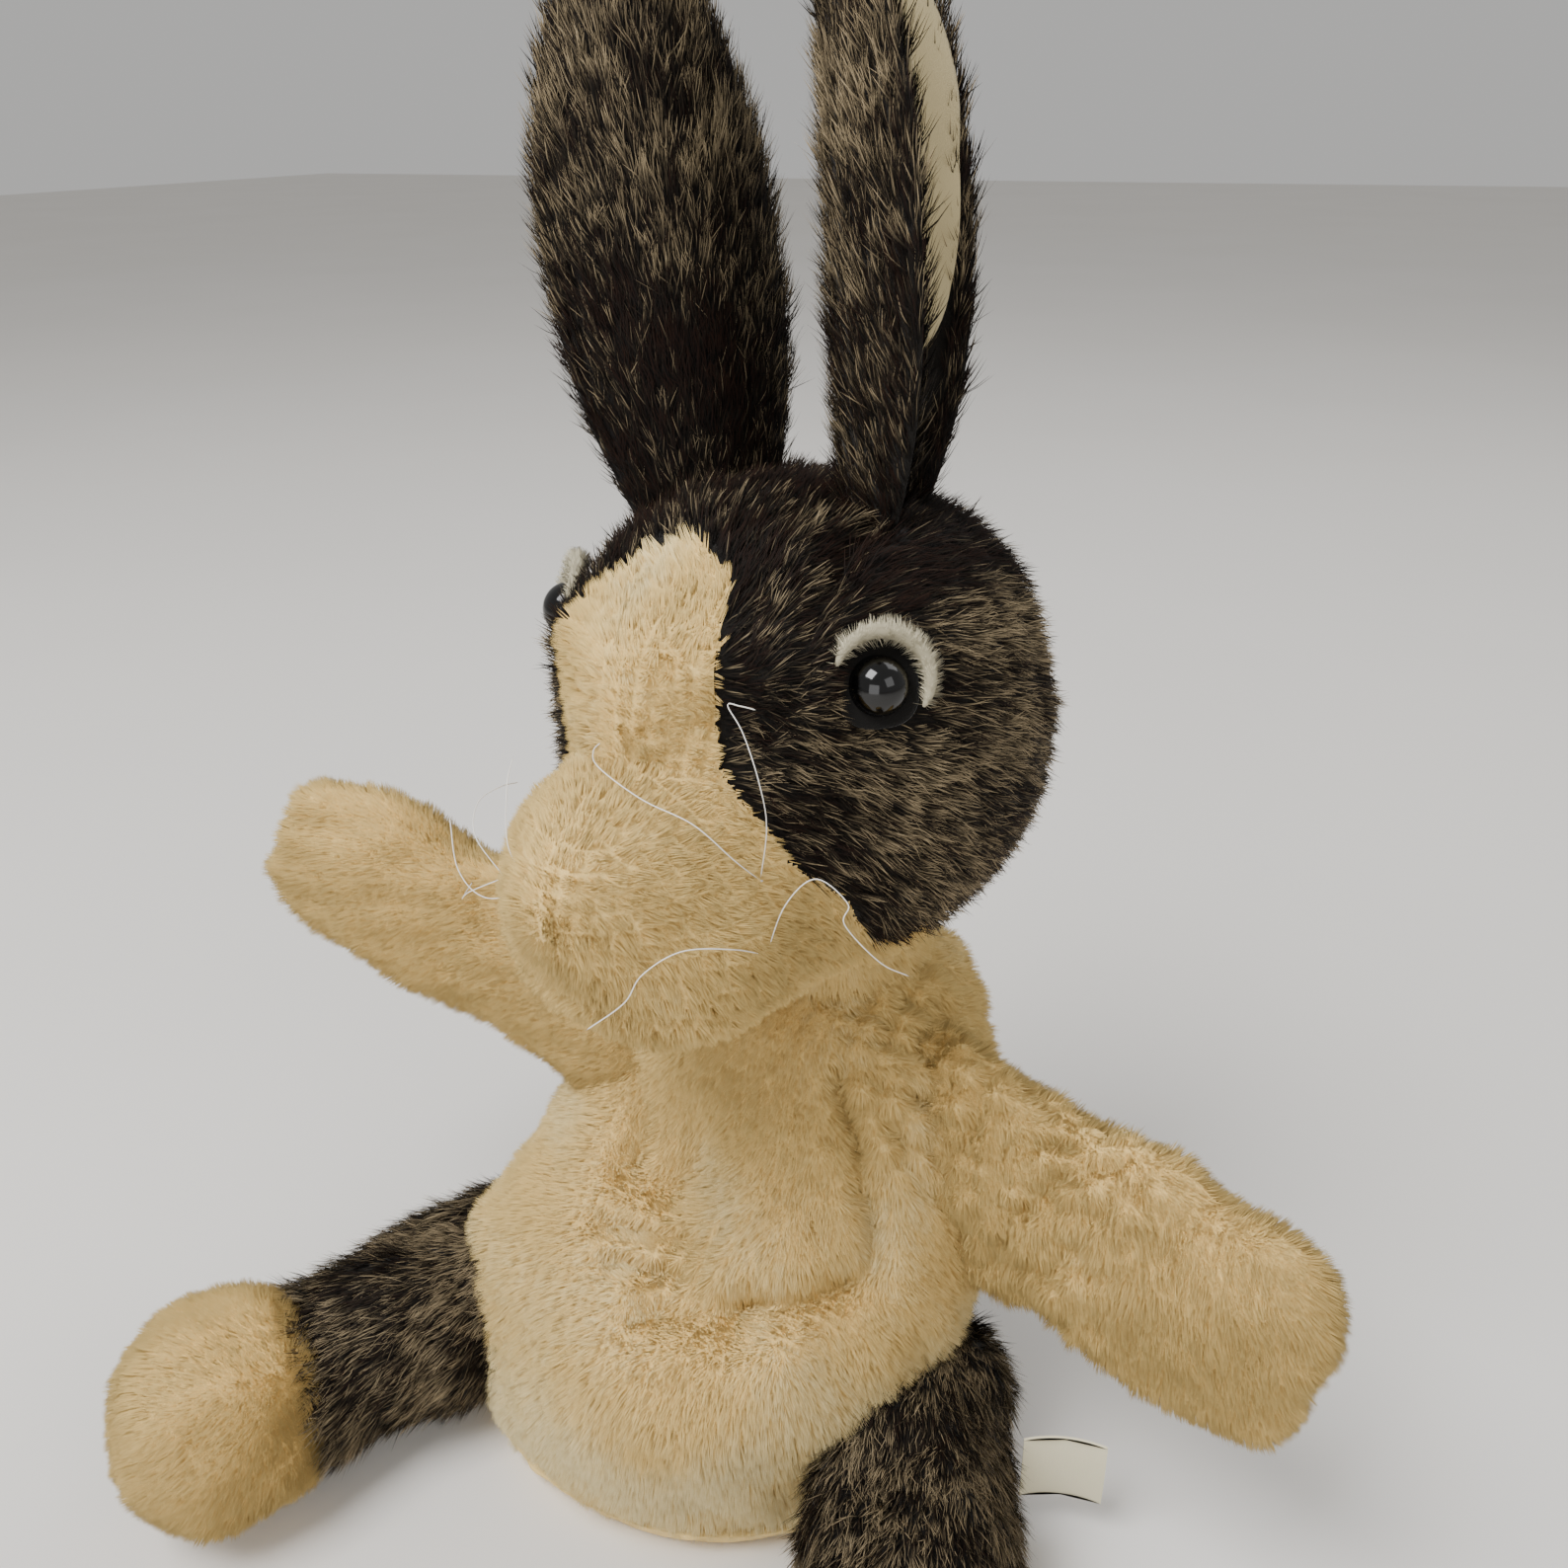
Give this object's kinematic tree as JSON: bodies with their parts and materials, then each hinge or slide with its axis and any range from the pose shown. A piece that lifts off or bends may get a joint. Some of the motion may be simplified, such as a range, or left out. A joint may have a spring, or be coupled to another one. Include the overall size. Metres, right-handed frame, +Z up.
{
  "type": "moving mouth hand puppet",
  "caption": "Plush rabbit hand puppet with a moving mouth, fur panels over a cloth glove, floppy ears, arms and legs.",
  "frame": {"origin": "middle of the bottom of the bounding box, on the surface that the puppet sits on", "axes": "+Z up through the ears, -Y the way the belly faces, +X the puppet's own left"},
  "size_m": [0.274, 0.2028, 0.3578],
  "materials": {
    "dark_fur": "long pile",
    "cream_fur": "plush pile",
    "velour": "short nap",
    "lining_cloth": "plain weave",
    "stuffing": "polyester fibre",
    "mouth_cloth": "felt",
    "mouth_board": "stiff board",
    "eye_black": "polished",
    "eye_felt": "felt",
    "washer_plastic": "moulded",
    "nylon": "clear thread",
    "label_cloth": "satin ribbon"
  },
  "bodies": {
    "torso": {"belly_panel": "cream_fur", "shoulder_yoke": "cream_fur", "back_panel": "dark_fur", "body_lining": "lining_cloth", "hem_binding": "lining_cloth", "neck_seam": "cream_fur", "tail": "dark_fur"},
    "neck": {"neck_sleeve": "cream_fur", "neck_lining": "lining_cloth"},
    "head": {"blaze_and_muzzle": "cream_fur", "brow_panel": "dark_fur", "cheek_left": "dark_fur", "cheek_right": "dark_fur", "head_back": "dark_fur", "head_stuffing": "stuffing", "finger_pocket": "lining_cloth", "mouth_lining_upper": "mouth_cloth", "mouth_board_upper": "mouth_board", "nose_stitch": "mouth_cloth", "eye_right": "eye_black", "eye_left": "eye_black", "eye_washer_right": "washer_plastic", "eye_washer_left": "washer_plastic", "eye_backing_right": "eye_felt", "eye_backing_left": "eye_felt", "eyelid_right": "cream_fur", "eyelid_left": "cream_fur", "whisker_left_upper": "nylon", "whisker_left_lower": "nylon", "whisker_right_upper": "nylon", "whisker_right_lower": "nylon"},
    "jaw": {"jaw_panel": "cream_fur", "mouth_lining_lower": "mouth_cloth", "mouth_board_lower": "mouth_board", "thumb_pocket": "lining_cloth"},
    "ear_right": {"ear_right": "dark_fur", "ear_lining_right": "velour"},
    "ear_left": {"ear_left": "dark_fur", "ear_lining_left": "velour"},
    "arm_right": {"arm_right": "cream_fur", "arm_sleeve_right": "lining_cloth"},
    "arm_left": {"arm_left": "cream_fur", "arm_sleeve_left": "lining_cloth"},
    "leg_right": {"leg_right": "dark_fur", "leg_stuffing_right": "stuffing", "foot_right": "cream_fur", "foot_stuffing_right": "stuffing"},
    "leg_left": {"leg_left": "dark_fur", "leg_stuffing_left": "stuffing", "foot_left": "cream_fur", "foot_stuffing_left": "stuffing", "side_label": "label_cloth"}
  },
  "joints": [
    {"name": "neck_turn", "type": "hinge", "parent": "torso", "child": "neck", "pos_m": [0.00521, 0.04675, 0.141], "axis": [0, 0, 1], "range_deg": [-25, 35]},
    {"name": "neck_nod", "type": "hinge", "parent": "neck", "child": "head", "pos_m": [0.00521, 0.04675, 0.162], "axis": [0.9903, -0.1392, 0], "range_deg": [-14, 8]},
    {"name": "mouth_open", "type": "hinge", "parent": "head", "child": "jaw", "pos_m": [0.00048, 0.01308, 0.169], "axis": [0.9903, -0.1392, 0], "range_deg": [0, 28]},
    {"name": "ear_right_fold", "type": "hinge", "parent": "head", "child": "ear_right", "pos_m": [-0.02467, 0.04718, 0.25687], "axis": [-0.7888, -0.6024, -0.1217], "range_deg": [-8, 40]},
    {"name": "ear_left_fold", "type": "hinge", "parent": "head", "child": "ear_left", "pos_m": [0.01474, 0.04185, 0.26196], "axis": [-0.1392, 0.9903, 0], "range_deg": [-8, 40]},
    {"name": "arm_right_lift", "type": "hinge", "parent": "torso", "child": "arm_right", "pos_m": [-0.04079, 0.03675, 0.104], "axis": [-0.309, 0.9511, 0], "range_deg": [-45, 9]},
    {"name": "arm_left_lift", "type": "hinge", "parent": "torso", "child": "arm_left", "pos_m": [0.04521, 0.03675, 0.1], "axis": [-0.2419, -0.9703, 0], "range_deg": [-20, 35]},
    {"name": "leg_right_swing", "type": "hinge", "parent": "torso", "child": "leg_right", "pos_m": [-0.06479, 0.01875, 0.0275], "axis": [0, 0, 1], "range_deg": [-20, 20]},
    {"name": "leg_left_swing", "type": "hinge", "parent": "torso", "child": "leg_left", "pos_m": [0.04721, 0.01475, 0.0275], "axis": [0, 0, 1], "range_deg": [-20, 20]}
  ]
}
